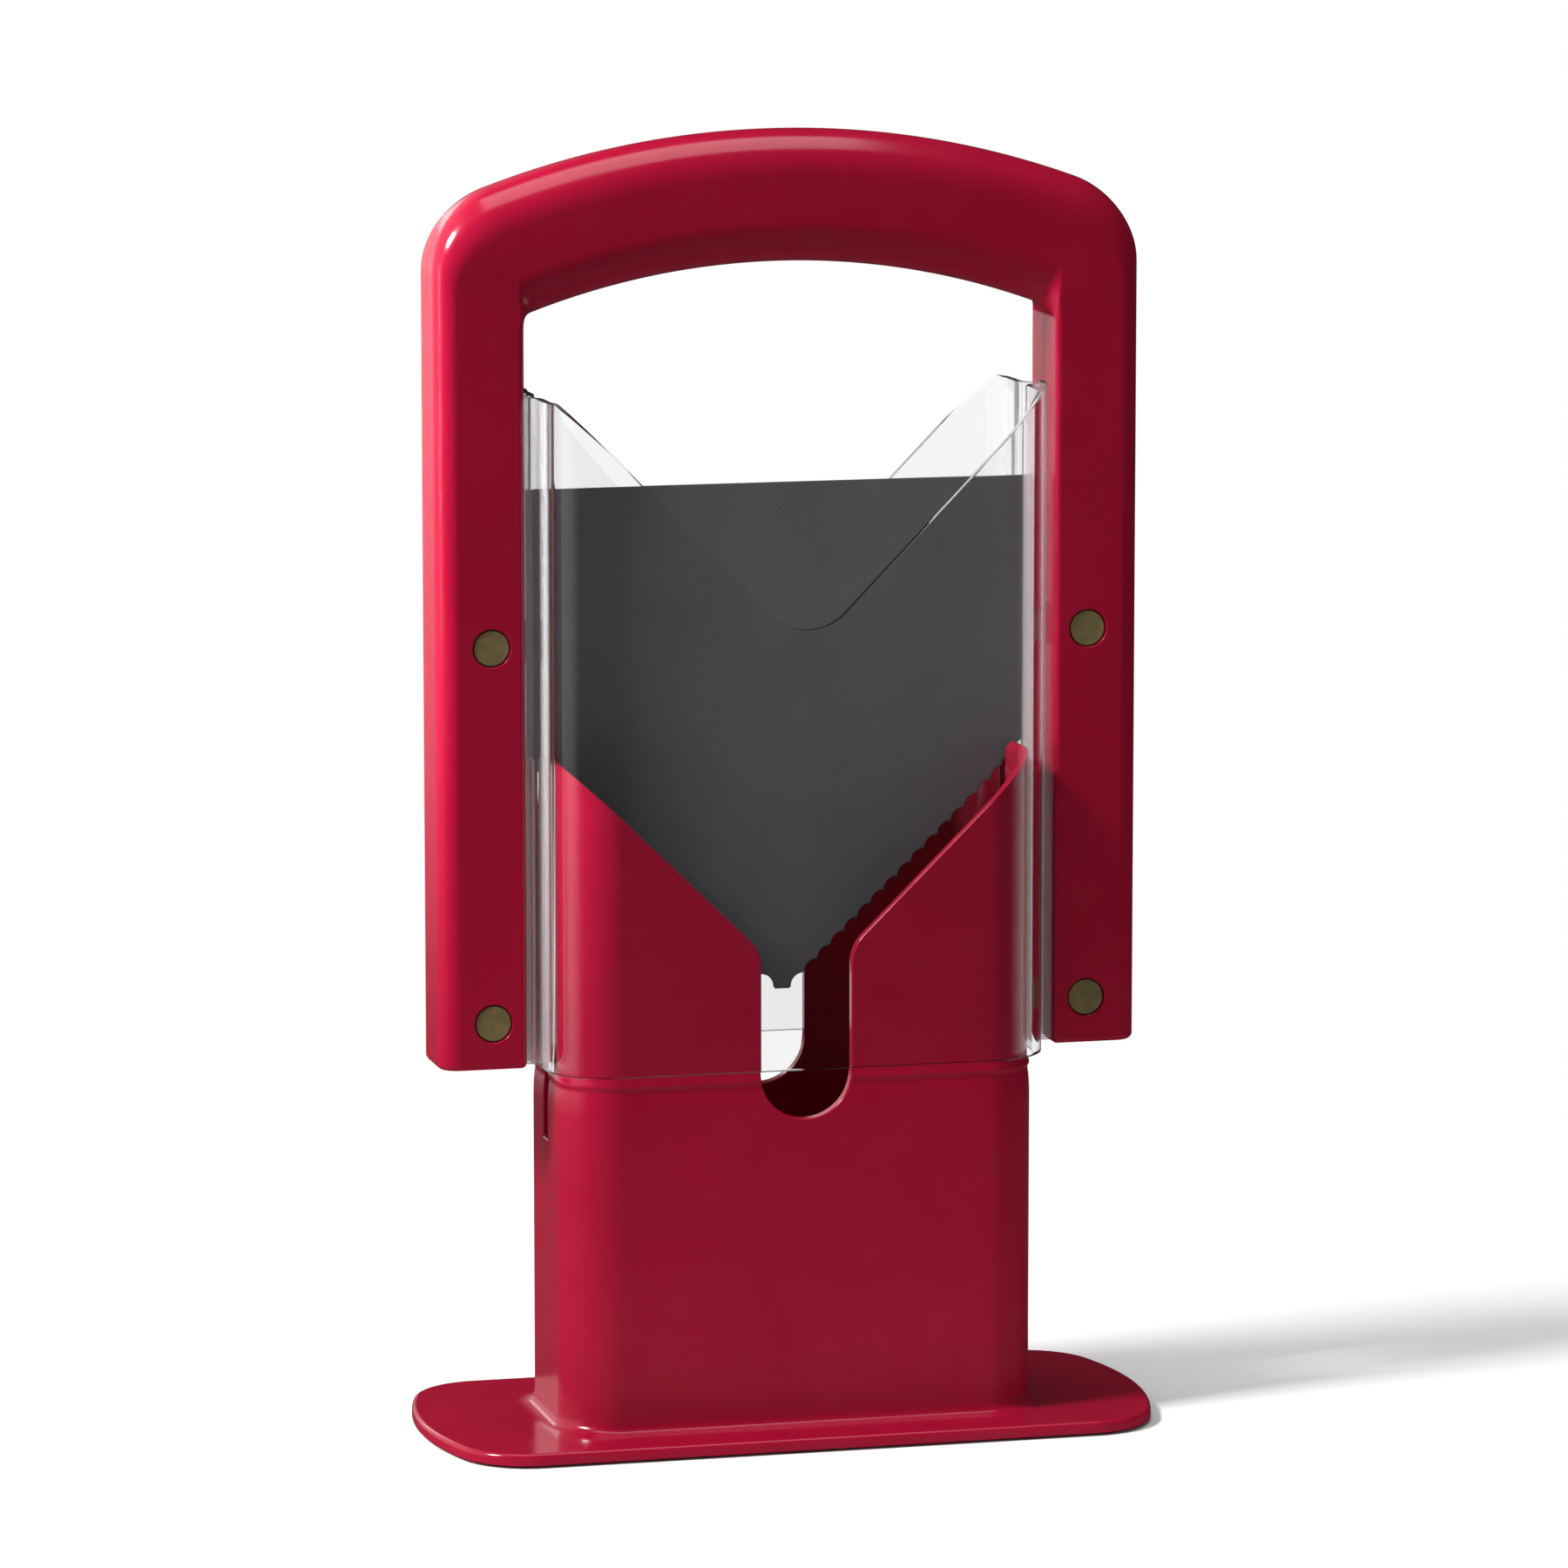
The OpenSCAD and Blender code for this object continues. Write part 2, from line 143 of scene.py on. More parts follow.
def pick_faces(piece, wanted):
    """Selects, in edit mode, the faces that the test accepts."""
    pick_only(piece)
    set_mode("EDIT")
    bpy.ops.mesh.select_mode(type="FACE")
    bpy.ops.mesh.select_all(action="DESELECT")
    cage = bmesh.from_edit_mesh(piece.data)
    for face in cage.faces:
        face.select = wanted(face)
    cage.select_flush_mode()
    bmesh.update_edit_mesh(piece.data)


def edges_at_height(z):
    return lambda edge: all(abs(v.co.z - z) < same_place for v in edge.verts)


foot_straight_y = plate_half_d - plate_corner_r
bow_x = plate_half_l - plate_end_r
bow_angle = math.asin(foot_straight_y / (plate_end_r - plate_corner_r))
foot_corner_x = bow_x + (plate_end_r - plate_corner_r) * math.cos(bow_angle)
foot_plate = set_pen("stand_moulding", (0, plate_half_d, plate_z))
draw_line(foot_corner_x, 0, 0)
corner_centre = (foot_corner_x, foot_straight_y, plate_z)
draw_arc(corner_centre, math.degrees(bow_angle) - 90, up, plate_corner_steps)
draw_arc((bow_x, 0, plate_z), -math.degrees(bow_angle), up, plate_end_steps)
mirror_half(foot_plate, (True, True, False))
fill_outline(foot_plate)
draw_line(0, 0, plate_t)
face_outwards(foot_plate)
pick_edges(foot_plate, edges_at_height(plate_top_z))
bpy.ops.mesh.bevel(offset=plate_rim_r, segments=5, affect="EDGES")
pick_edges(foot_plate, edges_at_height(plate_z))
bpy.ops.mesh.bevel(offset=plate_under_r, segments=2, affect="EDGES")
set_mode("OBJECT")

# Body of the stand: a hollow oblong box with round upright corners, in one with the plate.
# Its foot flares into the plate, low enough for the shields to come down over it, and a
# bead with a soft groove under it runs round where the upper part is drawn in.
body_half_w = 58.0 * mm
body_half_d = 24.5 * mm
body_corner_r = 13.0 * mm
wall_t = 2.6 * mm
wall_root = 1.0 * mm
flare_x = 4.5 * mm
flare_y = 2.2 * mm
flare_z = 5.5 * mm
flare_steps = 8
draw_in = 0.5 * mm
bead_z = 87.0 * mm
rim_r = 0.8 * mm
floor_lift = 0.1 * mm
# In mm: height above the bead's crest, and how far the wall stands in from the lower wall
bead_profile = (
    (-8.0, 0.0),
    (-6.0, 0.04),
    (-4.2, 0.12),
    (-2.8, 0.24),
    (-1.9, 0.36),
    (-1.4, 0.42),
    (-1.05, 0.4),
    (-0.75, 0.3),
    (-0.45, 0.14),
    (-0.1, 0.04),
    (0.3, 0.08),
    (0.8, 0.24),
    (1.4, 0.4),
    (2.0, 0.48),
    (2.8, 0.5),
)


def raise_wall(ring, new_ring):
    """Extrudes the cap from one ring, given by half width, half depth and height, to the next."""
    draw_line(0, 0, new_ring[2] - ring[2])
    stretch = (new_ring[0] / ring[0], new_ring[1] / ring[1], 1)
    bpy.ops.transform.resize(value=stretch, center_override=(0, 0, 0))
    return new_ring


ring = (body_half_w + flare_x, body_half_d + flare_y, plate_top_z - wall_root)
bpy.ops.mesh.primitive_plane_add(size=2, location=(0, 0, ring[2]))
body = bpy.context.object
body.name = "body_walls"
set_mode("EDIT")
bpy.ops.transform.resize(value=(ring[0], ring[1], 1))
foot_corner_r = body_corner_r * ring[1] / body_half_d
bpy.ops.mesh.bevel(offset=foot_corner_r, segments=18, affect="VERTICES")
bpy.ops.mesh.select_all(action="SELECT")
ring = raise_wall(ring, (ring[0], ring[1], plate_top_z))
for step in range(1, flare_steps + 1):
    turn = math.radians(90 * step / flare_steps)
    left = (1 - math.sin(turn)) ** 2
    flare_ring = (
        body_half_w + flare_x * left,
        body_half_d + flare_y * left,
        plate_top_z + flare_z * (1 - math.cos(turn)),
    )
    ring = raise_wall(ring, flare_ring)
for rise, inset in bead_profile:
    bead_ring = (body_half_w - inset * mm, body_half_d - inset * mm, bead_z + rise * mm)
    ring = raise_wall(ring, bead_ring)
rim_z = stand_high.z
ring = raise_wall(ring, (ring[0], ring[1], rim_z - rim_r))
rim_steps = 4
for step in range(rim_steps):
    turn = [math.radians(90 * (step + k) / rim_steps) for k in (0, 1)]
    bpy.ops.mesh.inset(
        thickness=rim_r * (math.cos(turn[0]) - math.cos(turn[1])),
        depth=rim_r * (math.sin(turn[1]) - math.sin(turn[0])),
    )
bpy.ops.mesh.inset(thickness=wall_t - 2 * rim_r, depth=0)
for step in range(rim_steps):
    turn = [math.radians(90 * (step + k) / rim_steps) for k in (0, 1)]
    bpy.ops.mesh.inset(
        thickness=rim_r * (math.sin(turn[1]) - math.sin(turn[0])),
        depth=rim_r * (math.cos(turn[1]) - math.cos(turn[0])),
    )
bpy.ops.mesh.inset(thickness=0, depth=plate_top_z + floor_lift + rim_r - rim_z)
set_mode("OBJECT")
bpy.ops.object.transform_apply(location=True, rotation=True, scale=True)
face_outwards(body)

# Mouth, finger slots and blade gaps: openings of the same moulding, with rounded edges.
# The V mouth runs into an upright slot front and back, and each side wall is parted
# down the middle for the blade.
mouth_slope = math.radians(44.4)
side_rim_w = 0.8 * mm
mouth_apex_z = rim_z - (body_half_w - draw_in - side_rim_w) * math.tan(mouth_slope)
slot_r = 11.0 * mm
slot_bottom_z = 77.5 * mm
slot_steps = 16
shoulder_r = 9.0 * mm
shoulder_steps = 10
gap_half_w = 2.5 * mm
gap_bottom_z = 71.0 * mm
opening_edge_r = 0.4 * mm
cutter_reach = 60.0 * mm
cutter_margin = 6.0 * mm
cutter_head = 20.0 * mm
sharp_turn = math.radians(50)


def cut_away(piece, cutter):
    face_outwards(cutter)
    apply_modifier(piece, "BOOLEAN", operation="DIFFERENCE", object=cutter, solver="EXACT")
    bpy.data.objects.remove(cutter)


def build_on(piece, part):
    face_outwards(part)
    apply_modifier(piece, "BOOLEAN", operation="UNION", object=part, solver="EXACT")
    bpy.data.objects.remove(part)


def add_block(name, low, high):
    """A cube primitive stretched between two corners, left in object mode."""
    low, high = Vector(low), Vector(high)
    bpy.ops.mesh.primitive_cube_add(size=1, location=(low + high) / 2)
    block = bpy.context.object
    block.name = name
    block.scale = high - low
    bpy.ops.object.transform_apply(location=True, rotation=True, scale=True)
    return block


shoulder_x = slot_r + shoulder_r
shoulder_z = mouth_apex_z + shoulder_x * math.tan(mouth_slope) - shoulder_r / math.cos(mouth_slope)
slope_x = shoulder_x - shoulder_r * math.sin(mouth_slope)
mouth = set_pen("mouth_cutter", (0, -cutter_reach, slot_bottom_z))
draw_arc((0, -cutter_reach, slot_bottom_z + slot_r), 90, -back, slot_steps)
draw_line(0, 0, shoulder_z - slot_bottom_z - slot_r)
shoulder_centre = (shoulder_x, -cutter_reach, shoulder_z)
draw_arc(shoulder_centre, math.degrees(mouth_slope) - 90, -back, shoulder_steps)
mouth_top_x = body_half_w + cutter_margin
draw_line(mouth_top_x - slope_x, 0, (mouth_top_x - slope_x) * math.tan(mouth_slope))
draw_line(0, 0, cutter_head)
draw_line(-mouth_top_x, 0, 0)
mirror_half(mouth, (True, False, False))
fill_outline(mouth)
draw_line(0, 2 * cutter_reach, 0)
set_mode("OBJECT")
cut_away(body, mouth)
gap_cutter = add_block(
    "gap_cutter",
    (-plate_half_l, -gap_half_w, gap_bottom_z),
    (plate_half_l, gap_half_w, rim_z + cutter_reach),
)
cut_away(body, gap_cutter)


def on_opening(edge):
    """True for the sharp edges that the mouth, the slots and the gaps have left."""
    if len(edge.link_faces) != 2 or edge.calc_face_angle() < sharp_turn:
        return False
    return min(v.co.z for v in edge.verts) > gap_bottom_z - mm


pick_edges(body, on_opening)
bpy.ops.mesh.bevel(offset=opening_edge_r, segments=3, affect="EDGES", clamp_overlap=False)
set_mode("OBJECT")
face_outwards(body)
build_on(foot_plate, body)

# Cradle webs: four upright ribs moulded across the pocket, two on each side of the blade.
# Their tops are cut to one round rest, halfway up the body.
web_t = 2.0 * mm
web_places = (-14.0 * mm, -5.0 * mm, 5.0 * mm, 14.0 * mm)
web_end_x = body_half_w - draw_in - wall_t / 2
rest_r = 57.0 * mm
rest_bottom_z = 62.0 * mm
rest_z = rest_bottom_z + rest_r
rest_steps = 20
web_drop = 14.7 * mm
web_root = 0.5 * mm
web_end_z = rest_z - web_drop
web_edge_r = 0.4 * mm
rest_turn = math.degrees(math.acos(web_drop / rest_r))


def on_web_top(edge):
    """True for the sharp edges along both faces of a web, from the rest upwards."""
    if min(v.co.z for v in edge.verts) < rest_bottom_z - web_edge_r:
        return False
    along = abs(edge.verts[0].co.y - edge.verts[1].co.y) < web_edge_r
    return along and edge.calc_face_angle(0) > sharp_turn


for web_y in web_places:
    web_front_y = web_y - web_t / 2
    web = set_pen("web", (0, web_front_y, rest_bottom_z))
    draw_arc((0, web_front_y, rest_z), rest_turn, -back, rest_steps)
    draw_line(web_end_x - rest_r * math.sin(math.radians(rest_turn)), 0, 0)
    draw_line(0, 0, plate_top_z - web_root - web_end_z)
    draw_line(-web_end_x, 0, 0)
    mirror_half(web, (True, False, False))
    fill_outline(web)
    draw_line(0, web_t, 0)
    face_outwards(web)
    pick_edges(web, on_web_top)
    bpy.ops.mesh.bevel(offset=web_edge_r, segments=2, affect="EDGES")
    set_mode("OBJECT")
    build_on(foot_plate, web)

# Red plastic: the finish of the whole moulding, and later of the handle. It is coloured
# right through and glossy from a polished mould.
deep_red = (0.305, 0.0030, 0.024)
light_red = (0.33, 0.0042, 0.028)
plastic_ior = 1.49


def new_material(name):
    material = bpy.data.materials.new(name)
    material.use_nodes = True
    tree = material.node_tree
    return material, tree, tree.nodes["Principled BSDF"]


def add_node(tree, kind, **settings):
    node = tree.nodes.new(kind)
    for name, value in settings.items():
        if name in node.inputs:
            node.inputs[name].default_value = value
        else:
            setattr(node, name, value)
    return node


def noise_on_object(tree, scale, detail, roughness=0.5):
    place = add_node(tree, "ShaderNodeTexCoord")
    noise = add_node(tree, "ShaderNodeTexNoise", Scale=scale, Detail=detail, Roughness=roughness)
    tree.links.new(place.outputs["Object"], noise.inputs["Vector"])
    return noise


def spread_values(tree, source, low, high, start=0.3, end=0.7):
    """Maps what lies between start and end onto low to high."""
    spread = add_node(tree, "ShaderNodeMapRange")
    spread.inputs["From Min"].default_value = start
    spread.inputs["From Max"].default_value = end
    spread.inputs["To Min"].default_value = low
    spread.inputs["To Max"].default_value = high
    tree.links.new(source, spread.inputs["Value"])
    return spread.outputs["Result"]


def work_out(tree, operation, first, second):
    """Puts two values, each a number or another node's output, through a math node."""
    step = add_node(tree, "ShaderNodeMath", operation=operation)
    for socket, value in zip(step.inputs, (first, second)):
        if isinstance(value, (int, float)):
            socket.default_value = value
        else:
            tree.links.new(value, socket)
    return step.outputs[0]


def blend_colours(tree, share, first, second):
    mix = add_node(tree, "ShaderNodeMix", data_type="RGBA")
    mix.inputs[6].default_value = (*first, 1)
    mix.inputs[7].default_value = (*second, 1)
    tree.links.new(share, mix.inputs[0])
    return mix.outputs[2]


def add_bump(tree, shader, height, strength, distance):
    bump = add_node(tree, "ShaderNodeBump", Strength=strength, Distance=distance)
    tree.links.new(height, bump.inputs["Height"])
    tree.links.new(bump.outputs["Normal"], shader.inputs["Normal"])


def red_plastic():
    """Glossy moulded plastic: faint flow clouds in the red and a very fine orange peel."""
    material, tree, shader = new_material("red_moulded_plastic")
    clouds = noise_on_object(tree, scale=28, detail=3)
    cloud_share = spread_values(tree, clouds.outputs["Fac"], 0, 1)
    colour = blend_colours(tree, cloud_share, deep_red, light_red)
    tree.links.new(colour, shader.inputs["Base Color"])
    wipe = noise_on_object(tree, scale=90, detail=5)
    shine = spread_values(tree, wipe.outputs["Fac"], low=0.14, high=0.2)
    tree.links.new(shine, shader.inputs["Roughness"])
    peel = noise_on_object(tree, scale=900, detail=2)
    add_bump(tree, shader, peel.outputs["Fac"], strength=0.06, distance=0.1 * mm)
    shader.inputs["IOR"].default_value = plastic_ior
    return material


def dress(piece, material, body, nodes, smooth_to=32):
    """Shades a piece, gives it its finish, and hangs it on its body in place of its node."""
    face_outwards(piece)
    bpy.ops.object.shade_smooth_by_angle(angle=math.radians(smooth_to))
    apply_modifier(piece, "WEIGHTED_NORMAL", keep_sharp=True)
    piece.data.materials.clear()
    piece.data.materials.append(material)
    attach(piece, body)
    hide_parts(*nodes)


red = red_plastic()
dress(foot_plate, red, "stand", ["stand_body"])

# Rubber pads: four round feet pushed into pockets under the corners of the plate.
# They are moulded rubber with a rounded rim, and keep the stand from sliding.
pad_edge_r = 0.35 * mm
deep_black = (0.022, 0.021, 0.02)
worn_black = (0.045, 0.043, 0.041)


def black_rubber():
    material, tree, shader = new_material("black_rubber")
    grain = noise_on_object(tree, scale=1400, detail=4)
    tone = spread_values(tree, grain.outputs["Fac"], 0, 1)
    colour = blend_colours(tree, tone, deep_black, worn_black)
    tree.links.new(colour, shader.inputs["Base Color"])
    dust = noise_on_object(tree, scale=200, detail=3)
    matt = spread_values(tree, dust.outputs["Fac"], low=0.62, high=0.85)
    tree.links.new(matt, shader.inputs["Roughness"])
    add_bump(tree, shader, grain.outputs["Fac"], strength=0.3, distance=0.05 * mm)
    return material


def copy_piece(piece, name, shift):
    """A copy with a mesh of its own, moved in edit mode, so that its object stays put."""
    pick_only(piece)
    bpy.ops.object.duplicate()
    copy = bpy.context.object
    copy.name = name
    set_mode("EDIT")
    bpy.ops.mesh.select_all(action="SELECT")
    bpy.ops.transform.translate(value=shift)
    set_mode("OBJECT")
    return copy


pad_low, pad_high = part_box("foot_pad_front_left")
bpy.ops.mesh.primitive_cylinder_add(
    vertices=48,
    radius=(pad_high.x - pad_low.x) / 2,
    depth=pad_high.z - pad_low.z,
    location=(pad_low + pad_high) / 2,
)
first_pad = bpy.context.object
first_pad.name = "pad_front_left"
bpy.ops.object.transform_apply(location=True, rotation=True, scale=True)
pick_edges(first_pad, edges_at_height(pad_low.z))
bpy.ops.mesh.bevel(offset=pad_edge_r, segments=3, affect="EDGES")
set_mode("OBJECT")
pads = {"front_left": first_pad}
for corner in ("front_right", "back_left", "back_right"):
    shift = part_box("foot_pad_" + corner)[0] - pad_low
    pads[corner] = copy_piece(first_pad, "pad_" + corner, shift)
rubber = black_rubber()
for corner, pad in pads.items():
    dress(pad, rubber, "stand", ["foot_pad_" + corner])

# Handle: a red arch of two moulded shells, drawn together by the rivets in its legs.
# The grip is thick and round, the legs are flat bars with their outer edges rounded
# most, and the corners run from one into the other. The shells meet in a fine seam.
handle_low, handle_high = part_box("handle_front_shell")
leg_bottom_z = handle_low.z
leg_out_x = handle_high.x
leg_w = 21.0 * mm
leg_in_x = leg_out_x - leg_w
handle_half_d = -handle_low.y
leg_inner_r = 1.5 * mm
leg_outer_r = 5.0 * mm
leg_end_r = 1.4 * mm
leg_spare = 5.0 * mm
grip_h = 31.3 * mm
grip_top_r = 210.0 * mm
grip_edge_r = 10.5 * mm
window_corner_r = 3.5 * mm
seam = 0.025 * mm
seam_bevel = 0.12 * mm
seam_turn = math.radians(30)
section_steps = 9
grip_steps = 22
corner_steps = 20
corner_fullness = 0.647


def add_section(name, width, middle, turn):
    """Starts a bar as the oblong face of its end, in edit mode."""
    bpy.ops.mesh.primitive_plane_add(size=1, location=middle, rotation=(0, turn, 0))
    bar = bpy.context.object
    bar.name = name
    bar.scale = (width, 2 * handle_half_d, 1)
    bpy.ops.object.transform_apply(location=True, rotation=True, scale=True)
    set_mode("EDIT")
    return bar


def round_section(bar, edge_r, low_x, high_x):
    """Rounds those corners of the section that lie between two places across the handle."""
    bpy.ops.mesh.select_mode(type="VERT")
    bpy.ops.mesh.select_all(action="DESELECT")
    cage = bmesh.from_edit_mesh(bar.data)
    for corner in cage.verts:
        corner.select = low_x < corner.co.x < high_x
    bmesh.update_edit_mesh(bar.data)
    bpy.ops.mesh.bevel(offset=edge_r, segments=section_steps, affect="VERTICES")
    bpy.ops.mesh.select_all(action="SELECT")


# The leg runs up to where the corner's two curves begin, so its top end is slanted
arch_z = handle_high.z - grip_top_r
corner_reach = grip_top_r - leg_w
corner_turn = math.asin(leg_in_x / corner_reach)
corner_z = arch_z + corner_reach * math.cos(corner_turn)
window_reach = grip_top_r - grip_h - window_corner_r
window_corner_z = arch_z + math.sqrt(window_reach**2 - (leg_in_x - window_corner_r) ** 2)
leg_x = leg_in_x + leg_w / 2
leg = add_section("leg", leg_w, (leg_x, 0, leg_bottom_z), 0)
round_section(leg, leg_inner_r, 0, leg_x)
round_section(leg, leg_outer_r, leg_x, leg_out_x + mm)
draw_line(0, 0, corner_z + leg_spare - leg_bottom_z)
pick_edges(leg, edges_at_height(leg_bottom_z))
bpy.ops.mesh.bevel(offset=leg_end_r, segments=4, affect="EDGES")
bpy.ops.mesh.select_all(action="SELECT")
bpy.ops.mesh.bisect(
    plane_co=(leg_in_x, 0, window_corner_z),
    plane_no=(window_corner_z - corner_z, 0, leg_w),
    use_fill=True,
    clear_outer=True,
)
set_mode("OBJECT")
grip_middle = (0, 0, handle_high.z - grip_h / 2)
handle = add_section("handle_front", grip_h, grip_middle, math.radians(90))
round_section(handle, grip_edge_r, -mm, mm)
draw_arc((0, 0, arch_z), math.degrees(corner_turn), back, grip_steps)


def is_end(face):
    """True for the many-sided face that closes a bar."""
    return len(face.verts) > 4


def is_middle_end(face):
    return is_end(face) and face.calc_center_median().x < mm


def is_corner_end(face):
    return is_end(face) and face.calc_center_median().z > leg_bottom_z + mm


pick_faces(handle, is_middle_end)
bpy.ops.mesh.delete(type="ONLY_FACE")
pick_only(handle)
leg.select_set(True)
bpy.ops.object.join()
pick_faces(handle, is_corner_end)
bpy.ops.mesh.bridge_edge_loops(
    number_cuts=corner_steps,
    interpolation="SURFACE",
    smoothness=corner_fullness,
)
face_outwards(handle)
mirror_half(handle, (True, False, False))
face_outwards(handle)
set_mode("EDIT")
bpy.ops.mesh.select_all(action="SELECT")
bpy.ops.mesh.bisect(plane_co=(0, -seam, 0), plane_no=back, use_fill=True, clear_outer=True)
set_mode("OBJECT")
face_outwards(handle)


def on_seam(edge):
    """True for the edges round the face where the front shell meets the back one."""
    flat = all(abs(v.co.y + seam) < same_place for v in edge.verts)
    return flat and edge.calc_face_angle(0) > seam_turn


pick_edges(handle, on_seam)
bpy.ops.mesh.bevel(offset=seam_bevel, segments=2, affect="EDGES", clamp_overlap=False)
set_mode("OBJECT")

# Slots and recesses of the shells: each leg is slotted on the window side and at its lower
# end for the ears of the sheets, and sunk round every rivet so that no head stands proud.
shield_low, shield_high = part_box("front_shield")
ear_out_x = shield_high.x
ear_gap = 0.4 * mm
sheet_t = 2.0 * mm
sheet_play = 0.05 * mm
slot_front_y = shield_high.y - sheet_t - sheet_play
slot_spare = 5.0 * mm
slot_lead = 0.5 * mm
recess_r = 4.55 * mm
recess_bevel = 0.25 * mm
rivet_hole_r = 2.7 * mm
hole_reach = 20.0 * mm
hole_sides = 48
head_low, head_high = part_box("rivet_barrel_upper_right")
rivet_x = (head_low.x + head_high.x) / 2
rivet_heights = {}
for place in ("upper", "lower"):
    low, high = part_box("rivet_barrel_" + place + "_right")
    rivet_heights[place] = (low.z + high.z) / 2
head_front_y = head_low.y
head_t = 1.2 * mm
head_back_y = head_front_y + head_t


def add_bar(name, radius, x, z, front_y, back_y, sides=64):
    """A cylinder primitive laid from front to back."""
    bpy.ops.mesh.primitive_cylinder_add(
        vertices=sides,
        radius=radius,
        depth=back_y - front_y,
        location=(x, (front_y + back_y) / 2, z),
        rotation=(math.radians(90), 0, 0),
    )
    bar = bpy.context.object
    bar.name = name
    bpy.ops.object.transform_apply(location=True, rotation=True, scale=True)
    return bar


def drill(piece, side, z):
    """Cuts a hole for a rivet right through a piece."""
    x = side * rivet_x
    cut_away(piece, add_bar("hole", rivet_hole_r, x, z, -hole_reach, hole_reach, hole_sides))


for side in (-1, 1):
    slot_x = sorted((side * (leg_in_x - slot_lead), side * (ear_out_x + ear_gap)))
    slot_cutter = add_block(
        "slot_cutter",
        (slot_x[0], slot_front_y, leg_bottom_z - slot_spare),
        (slot_x[1], slot_spare, shield_high.z + ear_gap),
    )
    cut_away(handle, slot_cutter)
    for z in rivet_heights.values():
        drill(handle, side, z)
        cut_away(handle, add_bar("recess", recess_r, side * rivet_x, z, -hole_reach, head_back_y))


def on_recess_rim(edge):
    """True for the edges round the recesses, where they break the front of the legs."""
    if any(abs(v.co.y + handle_half_d) > same_place for v in edge.verts):
        return False
    middle = (edge.verts[0].co + edge.verts[1].co) / 2
    for z in rivet_heights.values():
        if abs(math.hypot(abs(middle.x) - rivet_x, middle.z - z) - recess_r) < same_place:
            return True
    return False


pick_edges(handle, on_recess_rim)
bpy.ops.mesh.bevel(offset=recess_bevel, segments=3, affect="EDGES", clamp_overlap=False)
set_mode("OBJECT")


def copy_to_back(piece, name):
    """A copy of its own for the back, mirrored from the front one."""
    pick_only(piece)
    bpy.ops.object.duplicate()
    copy = bpy.context.object
    copy.name = name
    set_mode("EDIT")
    bpy.ops.mesh.select_all(action="SELECT")
    bpy.ops.transform.mirror(constraint_axis=(False, True, False), center_override=(0, 0, 0))
    set_mode("OBJECT")
    return copy


handle_back = copy_to_back(handle, "handle_back")
dress(handle, red, "carriage", ["handle_front_shell"])
dress(handle_back, red, "carriage", ["handle_back_shell"])

# Blade: steel sheet with a dark matt non-stick coat, clamped between the shields in the legs.
# Its lower edge is a V of hollow scallops, ground in from both faces, and a lug on each
# side reaches into the leg, where the upper rivet goes through it.
blade_low, blade_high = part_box("blade")
blade_t = blade_high.y - blade_low.y
blade_tip_half_w = 1.8 * mm
edge_slope = math.radians(44.2)
edge_end_x = 62.0 * mm
lug_h = 10.0 * mm
scallop_pitch = 4.6 * mm
scallop_depth = 1.0 * mm
scallop_start = 0.5 * mm
scallop_steps = 10
cusp_drop = 0.08 * mm
grind = 0.32 * mm
dark_coat = (0.086, 0.089, 0.095)
light_coat = (0.112, 0.116, 0.123)
dark_rubbed = (0.098, 0.101, 0.107)
light_rubbed = (0.126, 0.130, 0.137)
scallop_r = (scallop_pitch**2 / 4 + scallop_depth**2) / (2 * scallop_depth)
edge_length = (edge_end_x - blade_tip_half_w) / math.cos(edge_slope)
scallop_count = int((edge_length - 2 * scallop_start) / scallop_pitch)
scallop_turn = 2 * math.degrees(math.asin(scallop_pitch / 2 / scallop_r))
along_edge = Vector((math.cos(edge_slope), 0, math.sin(edge_slope)))
into_blade = Vector((-math.sin(edge_slope), 0, math.cos(edge_slope)))
blade_front_y = blade_low.y
edge_start = Vector((blade_tip_half_w, blade_front_y, blade_low.z))
blade = set_pen("blade_sheet", (0, blade_front_y, blade_low.z))
draw_line(blade_tip_half_w, 0, 0)
draw_line(*(along_edge * scallop_start + into_blade * cusp_drop))
for number in range(scallop_count):
    middle = scallop_start + (number + 0.5) * scallop_pitch
    centre = edge_start + along_edge * middle + into_blade * (scallop_depth + cusp_drop - scallop_r)
    draw_arc(centre, -scallop_turn, -back, scallop_steps)
here = edge_start + along_edge * (scallop_start + scallop_count * scallop_pitch)
here += into_blade * cusp_drop
edge_end = edge_start + along_edge * edge_length
draw_line(*(edge_end - here))
draw_line(0, 0, rivet_heights["upper"] - lug_h / 2 - edge_end.z)
draw_line(blade_high.x - edge_end_x, 0, 0)
draw_line(0, 0, lug_h)
draw_line(edge_end_x - blade_high.x, 0, 0)
draw_line(0, 0, blade_high.z - rivet_heights["upper"] - lug_h / 2)
draw_line(-edge_end_x, 0, 0)
mirror_half(blade, (True, False, False))
fill_outline(blade)
draw_line(0, blade_t, 0)
face_outwards(blade)
for side in (-1, 1):
    drill(blade, side, rivet_heights["upper"])


def on_cutting_edge(edge):
    """True for the edges along the scallops, on both faces of the sheet."""
    if abs(edge.verts[0].co.y - edge.verts[1].co.y) > same_place:
        return False
    for v in edge.verts:
        away = Vector((abs(v.co.x), blade_front_y, v.co.z)) - edge_start
        if away.dot(into_blade) > scallop_depth + 2 * cusp_drop:
            return False
        if v.co.z > edge_end.z + same_place:
            return False
    return True


pick_edges(blade, on_cutting_edge)
bpy.ops.mesh.bevel(offset=grind, segments=2, affect="EDGES", clamp_overlap=True)
set_mode("OBJECT")


